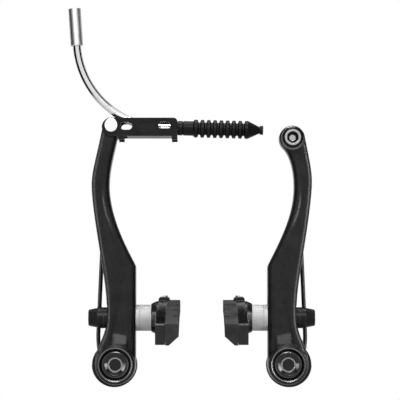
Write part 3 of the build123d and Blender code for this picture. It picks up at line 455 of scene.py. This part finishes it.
def add_spring(side):
    """Copy of a return spring's wire, cut into rings between two heights, shown in place of the spring node."""
    node = side + "_return_spring"
    piece = bpy.data.objects.new(side + "_spring_wire", nodes[node].data.copy())
    scene.collection.objects.link(piece)
    wire = bmesh.new()
    wire.from_mesh(piece.data)
    for step in range(WIRE_CUTS + 1):
        height = WIRE_CUT_START + (WIRE_BEND_END - WIRE_CUT_START) * step / WIRE_CUTS
        everything = wire.verts[:] + wire.edges[:] + wire.faces[:]
        bmesh.ops.bisect_plane(wire, geom=everything, plane_co=(0, 0, height), plane_no=(0, 0, 1))
    wire.to_mesh(piece.data)
    wire.free()
    smooth(piece.data)
    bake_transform(piece)
    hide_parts(node)
    return piece


spring_wires = [add_spring(side) for side in SIDES]
link_low, link_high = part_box("cable_link")
add_panel("link_front_panel", link_low[1] + PANEL_DEPTH, link_low[1] + LINK_SHEET)
add_panel("link_rear_panel", link_high[1] - LINK_SHEET, link_high[1] - PANEL_DEPTH)
add_lip()


def add_camera():
    """Long lens a little above the pivots, aimed up at the middle of the arms."""
    data = bpy.data.cameras.new("camera")
    data.sensor_width = SENSOR_WIDTH_MM
    data.lens = CAMERA_DISTANCE / METRES_PER_PIXEL / FRAME_PIXELS * data.sensor_width
    camera = bpy.data.objects.new("camera", data)
    scene.collection.objects.link(camera)
    offset = -CAMERA_DISTANCE * Vector((0, math.cos(CAMERA_PITCH), math.sin(CAMERA_PITCH)))
    camera.location = AIM + offset
    camera.rotation_euler = (-offset).to_track_quat("-Z", "Y").to_euler()
    scene.camera = camera


def add_light(name, place, target, size, power):
    """Soft box that faces a target."""
    data = bpy.data.lights.new(name, "AREA")
    data.shape = "RECTANGLE"
    data.size, data.size_y = size
    data.energy = power
    light = bpy.data.objects.new(name, data)
    scene.collection.objects.link(light)
    light.location = place
    light.rotation_euler = (Vector(target) - Vector(place)).to_track_quat("-Z", "Y").to_euler()
    return light


def keep_to(light, side):
    """Let a strip light reach only one arm's pieces and both fixing bolts, as a card between the arms would."""
    group = bpy.data.collections.new(light.name + "_pieces")
    for name, piece in nodes.items():
        if name.startswith(side) or name.endswith("fixing_bolt"):
            group.objects.link(piece)
    for wire in spring_wires:
        if wire.name.startswith(side):
            group.objects.link(wire)
    light.light_linking.receiver_collection = group


def add_world():
    """White studio, seen by the camera and in reflections, that lights the object softly."""
    world = bpy.data.worlds.new("studio")
    scene.world = world
    world.use_nodes = True
    tree = world.node_tree
    tree.nodes.clear()
    output = tree.nodes.new("ShaderNodeOutputWorld")
    mix = tree.nodes.new("ShaderNodeMixShader")
    fill = tree.nodes.new("ShaderNodeBackground")
    fill.inputs["Color"].default_value = grey(1)
    fill.inputs["Strength"].default_value = WORLD_FILL
    white = tree.nodes.new("ShaderNodeBackground")
    white.inputs["Color"].default_value = grey(1)
    white.inputs["Strength"].default_value = 1.0
    path = tree.nodes.new("ShaderNodeLightPath")
    seen = path.outputs["Is Camera Ray"]
    for ray in ("Is Glossy Ray", "Is Transmission Ray"):
        seen = either(tree, seen, path.outputs[ray])
    tree.links.new(seen, mix.inputs["Fac"])
    tree.links.new(fill.outputs["Background"], mix.inputs[1])
    tree.links.new(white.outputs["Background"], mix.inputs[2])
    tree.links.new(mix.outputs["Shader"], output.inputs["Surface"])


def add_sheet(name, corners, look):
    """Flat four-cornered piece of the studio."""
    mesh = bpy.data.meshes.new(name)
    mesh.from_pydata(corners, [], [(0, 1, 2, 3)])
    mesh.materials.append(look)
    sheet = bpy.data.objects.new(name, mesh)
    scene.collection.objects.link(sheet)
    return sheet


def add_floor():
    """Plain pale floor below the parts, which takes their shadow and fades into the white studio."""
    half = FLOOR_SIZE / 2
    corners = [(x * half, y * half, FLOOR_HEIGHT) for x, y in ((-1, -1), (1, -1), (1, 1), (-1, 1))]
    look = surface("floor_paper", (0.8, 0.82), (0.7, 0.8), 800, 1e-5)
    tree = look.node_tree
    source = tree.nodes.new("ShaderNodeTexCoord")
    radius = tree.nodes.new("ShaderNodeVectorMath")
    radius.operation = "LENGTH"
    fade = tree.nodes.new("ShaderNodeMapRange")
    fade.interpolation_type = "SMOOTHSTEP"
    fade.inputs["From Min"].default_value = FLOOR_FADE_START
    fade.inputs["From Max"].default_value = half
    clear = tree.nodes.new("ShaderNodeBsdfTransparent")
    mix = tree.nodes.new("ShaderNodeMixShader")
    tree.links.new(source.outputs["Object"], radius.inputs[0])
    tree.links.new(radius.outputs["Value"], fade.inputs["Value"])
    tree.links.new(fade.outputs["Result"], mix.inputs["Fac"])
    tree.links.new(tree.nodes["Principled BSDF"].outputs["BSDF"], mix.inputs[1])
    tree.links.new(clear.outputs["BSDF"], mix.inputs[2])
    tree.links.new(mix.outputs["Shader"], tree.nodes["Material Output"].inputs["Surface"])
    add_sheet("floor", corners, look)


def add_flags():
    """Dark studio cards at the sides and behind, seen only in reflections, which shape the gloss."""
    look = surface("flag_cloth", (0.004, 0.006), (0.9, 1.0), 900, 1e-5, gloss=0.0)
    low, high, front, back, wide = FLAG_LOW, FLAG_HIGH, FLAG_FRONT, FLAG_BACK, FLAG_OFFSET
    cards = {
        "left_flag": [(-wide, front, low), (-wide, back, low), (-wide, back, high), (-wide, front, high)],
        "right_flag": [(wide, front, low), (wide, back, low), (wide, back, high), (wide, front, high)],
        "rear_flag": [(-wide, FLAG_REAR, FLAG_REAR_LOW), (wide, FLAG_REAR, FLAG_REAR_LOW),
                      (wide, FLAG_REAR, high), (-wide, FLAG_REAR, high)],
    }
    for name, corners in cards.items():
        flag = add_sheet(name, corners, look)
        flag.visible_camera = False
        flag.visible_diffuse = False
        flag.visible_transmission = False
        flag.visible_shadow = False


add_camera()
add_world()
add_floor()
add_flags()
for name, lamp in LAMPS.items():
    add_light(name, *lamp)
for side, lamp in STRIPS.items():
    keep_to(add_light(side + "_strip", *lamp), side)
scene.view_settings.view_transform = "Standard"
